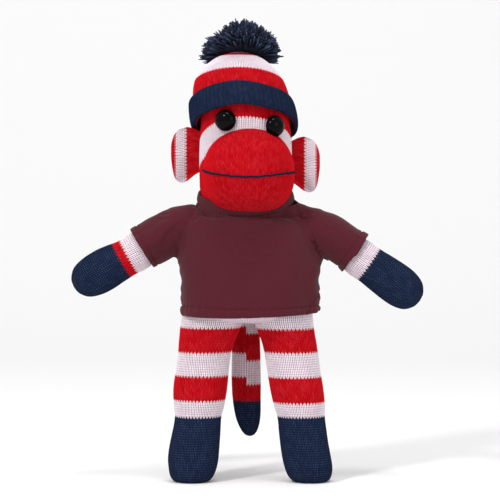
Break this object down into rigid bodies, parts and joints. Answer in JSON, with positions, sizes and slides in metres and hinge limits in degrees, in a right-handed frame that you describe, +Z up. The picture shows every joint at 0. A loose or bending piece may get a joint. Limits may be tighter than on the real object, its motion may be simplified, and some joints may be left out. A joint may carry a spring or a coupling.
{
  "type": "stuffed monkey",
  "caption": "Stuffed knitted monkey with striped limbs, a bobble hat, button-like eyes, a padded muzzle, a tail and a plain T-shirt; head, ears, limbs and tail bend at their seams.",
  "frame": {"origin": "on the floor under the middle of the toy, between the soles", "axes": "+Z up, the face looks along -Y, +X is the toy's own left"},
  "size_m": [0.1937, 0.0708, 0.2542],
  "materials": {
    "striped_knit": "matte",
    "red_knit": "matte",
    "navy_knit": "matte",
    "navy_yarn": "matte",
    "maroon_jersey": "matte",
    "stuffing": "matte",
    "seam_thread": "matte",
    "black_gloss": "gloss",
    "washer_plastic": "satin"
  },
  "bodies": {
    "torso": {"body_cover": "striped_knit", "body_stuffing": "stuffing", "shirt_front": "maroon_jersey", "shirt_back": "maroon_jersey", "shirt_collar": "maroon_jersey"},
    "neck": {"neck_thread": "seam_thread"},
    "head": {"head_cover": "striped_knit", "head_stuffing": "stuffing", "muzzle_cover": "red_knit", "muzzle_stuffing": "stuffing", "mouth_yarn": "navy_yarn", "eye_right": "black_gloss", "eye_left": "black_gloss", "eye_washer_right": "washer_plastic", "eye_washer_left": "washer_plastic", "hat_crown": "striped_knit", "hat_cuff": "navy_knit", "pompom_tie": "navy_yarn"},
    "pompom": {"pompom": "navy_yarn"},
    "ear_right": {"ear_right": "striped_knit"},
    "ear_left": {"ear_left": "striped_knit"},
    "tail_root": {"tail_thread": "seam_thread"},
    "tail": {"tail_cover": "striped_knit", "tail_stuffing": "stuffing"},
    "shoulder_right": {"shoulder_thread_right": "seam_thread"},
    "arm_right": {"arm_cover_right": "striped_knit", "arm_stuffing_right": "stuffing", "sleeve_right": "maroon_jersey"},
    "hip_right": {"hip_thread_right": "seam_thread"},
    "leg_right": {"leg_cover_right": "striped_knit", "leg_stuffing_right": "stuffing"},
    "shoulder_left": {"shoulder_thread_left": "seam_thread"},
    "arm_left": {"arm_cover_left": "striped_knit", "arm_stuffing_left": "stuffing", "sleeve_left": "maroon_jersey"},
    "hip_left": {"hip_thread_left": "seam_thread"},
    "leg_left": {"leg_cover_left": "striped_knit", "leg_stuffing_left": "stuffing"}
  },
  "joints": [
    {"name": "head_turn", "type": "hinge", "parent": "torso", "child": "neck", "pos_m": [-0.0008, 0.005, 0.166], "axis": [0, 0, 1], "range_deg": [-25, 25], "stiffness_Nm_per_rad": 0.15},
    {"name": "head_nod", "type": "hinge", "parent": "neck", "child": "head", "pos_m": [-0.0008, 0.005, 0.166], "axis": [1, 0, 0], "range_deg": [-12, 4], "stiffness_Nm_per_rad": 0.15},
    {"name": "pompom_flop", "type": "hinge", "parent": "head", "child": "pompom", "pos_m": [-0.0046, 0.01143, 0.23534], "axis": [1, 0, 0], "range_deg": [-10, 10], "stiffness_Nm_per_rad": 0.012},
    {"name": "ear_fold_right", "type": "hinge", "parent": "head", "child": "ear_right", "pos_m": [-0.0294, 0.006, 0.1796], "axis": [0, 0, 1], "range_deg": [-30, 55], "stiffness_Nm_per_rad": 0.006},
    {"name": "ear_fold_left", "type": "hinge", "parent": "head", "child": "ear_left", "pos_m": [0.0276, 0.006, 0.1742], "axis": [0, 0, -1], "range_deg": [-30, 55], "stiffness_Nm_per_rad": 0.006},
    {"name": "arm_raise_right", "type": "hinge", "parent": "torso", "child": "shoulder_right", "pos_m": [-0.0323, 0.0036, 0.1424], "axis": [0, 1, 0], "range_deg": [-16, 50], "stiffness_Nm_per_rad": 0.05},
    {"name": "arm_swing_right", "type": "hinge", "parent": "shoulder_right", "child": "arm_right", "pos_m": [-0.0323, 0.0036, 0.1424], "axis": [0.4894, 0, -0.8721], "range_deg": [-45, 20], "stiffness_Nm_per_rad": 0.05},
    {"name": "arm_raise_left", "type": "hinge", "parent": "torso", "child": "shoulder_left", "pos_m": [0.0326, 0.0036, 0.1435], "axis": [0, -1, 0], "range_deg": [-16, 50], "stiffness_Nm_per_rad": 0.05},
    {"name": "arm_swing_left", "type": "hinge", "parent": "shoulder_left", "child": "arm_left", "pos_m": [0.0326, 0.0036, 0.1435], "axis": [0.5764, 0, 0.8171], "range_deg": [-45, 20], "stiffness_Nm_per_rad": 0.05},
    {"name": "hip_bend_right", "type": "hinge", "parent": "torso", "child": "hip_right", "pos_m": [-0.0234, 0.0035, 0.073], "axis": [1, 0, 0], "range_deg": [-88, 15], "stiffness_Nm_per_rad": 0.2},
    {"name": "leg_splay_right", "type": "hinge", "parent": "hip_right", "child": "leg_right", "pos_m": [-0.0234, 0.0035, 0.073], "axis": [0, 1, 0], "range_deg": [-8, 32], "stiffness_Nm_per_rad": 0.2},
    {"name": "hip_bend_left", "type": "hinge", "parent": "torso", "child": "hip_left", "pos_m": [0.024, 0.0035, 0.073], "axis": [1, 0, 0], "range_deg": [-88, 15], "stiffness_Nm_per_rad": 0.2},
    {"name": "leg_splay_left", "type": "hinge", "parent": "hip_left", "child": "leg_left", "pos_m": [0.024, 0.0035, 0.073], "axis": [0, -1, 0], "range_deg": [-8, 32], "stiffness_Nm_per_rad": 0.2},
    {"name": "tail_lift", "type": "hinge", "parent": "torso", "child": "tail_root", "pos_m": [-0.0005, 0.0272, 0.0796], "axis": [1, 0, 0], "range_deg": [0, 80], "stiffness_Nm_per_rad": 0.03},
    {"name": "tail_sway", "type": "hinge", "parent": "tail_root", "child": "tail", "pos_m": [-0.0005, 0.0272, 0.0796], "axis": [0, 1, 0], "range_deg": [-25, 25], "stiffness_Nm_per_rad": 0.03}
  ]
}
